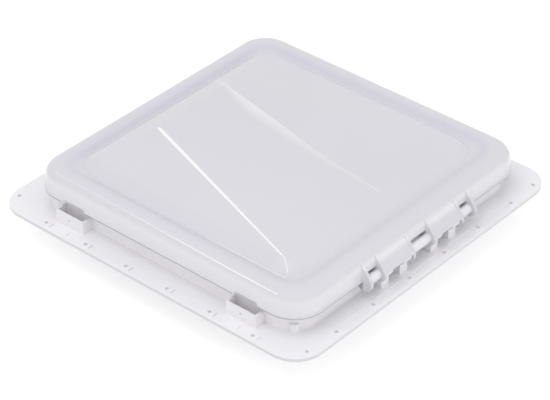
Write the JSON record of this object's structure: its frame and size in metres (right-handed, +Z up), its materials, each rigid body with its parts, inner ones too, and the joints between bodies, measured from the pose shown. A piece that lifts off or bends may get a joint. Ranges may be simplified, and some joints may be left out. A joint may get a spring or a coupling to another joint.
{
  "type": "roof vent",
  "caption": "Square roof vent with a hinged translucent domed lid, screw flange, crank-driven lift arm and insect screen.",
  "frame": {"origin": "centre of the flange's underside, on the roof skin", "axes": "+Z up out of the roof, +X towards the lid's hinge, +Y to complete a right-handed frame"},
  "size_m": [0.45, 0.45, 0.1095],
  "materials": {
    "white_moulding": "satin moulded plastic, white",
    "lid_translucent": "glossy translucent white plastic",
    "seal_foam": "soft black foam",
    "rod_white": "white coated rod",
    "track_steel": "zinc plated steel",
    "arm_steel": "zinc plated steel",
    "screw_steel": "zinc plated steel",
    "roller_plastic": "natural nylon",
    "bush_brass": "plain turned brass",
    "gear_plastic": "natural acetal",
    "handle_plastic": "satin moulded plastic, white",
    "net_grey": "grey plastic mesh"
  },
  "bodies": {
    "base": {"roof_flange": "white_moulding", "gear_case": "white_moulding", "gear_case_cover": "white_moulding", "gear_case_screws": "screw_steel", "cover_screws": "screw_steel", "shaft_bushes": "bush_brass", "worm_bush": "bush_brass", "screen_frame": "white_moulding", "insect_net": "net_grey", "screen_screws": "screw_steel"},
    "lid": {"lid": "lid_translucent", "lid_seal": "seal_foam", "hinge_rod": "rod_white", "slide_track": "track_steel", "track_screws": "screw_steel"},
    "arm": {"lift_arm": "arm_steel", "roller_pin": "screw_steel", "worm_wheel": "gear_plastic", "arm_shaft": "screw_steel", "arm_washer": "screw_steel", "arm_screw": "screw_steel"},
    "rollers": {"track_rollers": "roller_plastic"},
    "crank": {"worm": "gear_plastic", "worm_pin": "screw_steel", "worm_shaft": "screw_steel", "crank_handle": "handle_plastic", "handle_screw": "screw_steel", "knob_pin": "screw_steel"},
    "knob": {"crank_knob": "handle_plastic"}
  },
  "joints": [
    {"name": "lid_hinge", "type": "hinge", "parent": "base", "child": "lid", "pos_m": [0.2025, 0, 0.0255], "axis": [0, 1, 0], "range_deg": [0, 50]},
    {"name": "arm_pivot", "type": "hinge", "parent": "base", "child": "arm", "pos_m": [0.1125, 0, 0.005], "axis": [0, 1, 0], "range_deg": [0, 100]},
    {"name": "crank_turn", "type": "hinge", "parent": "base", "child": "crank", "pos_m": [0.0915, 0.016, 0], "axis": [0, 0, -1], "range_deg": [0, 2000]},
    {"name": "roller_spin", "type": "hinge", "parent": "arm", "child": "rollers", "pos_m": [0.03013, 0, 0.04666], "axis": [0, 1, 0], "continuous": true},
    {"name": "knob_spin", "type": "hinge", "parent": "crank", "child": "knob", "pos_m": [0.0495, 0.016, -0.037], "axis": [0, 0, 1], "continuous": true}
  ],
  "couplings": [
    {"joint": "arm_pivot", "follows": "lid_hinge", "ratio": 2},
    {"joint": "crank_turn", "follows": "lid_hinge", "ratio": 40}
  ]
}
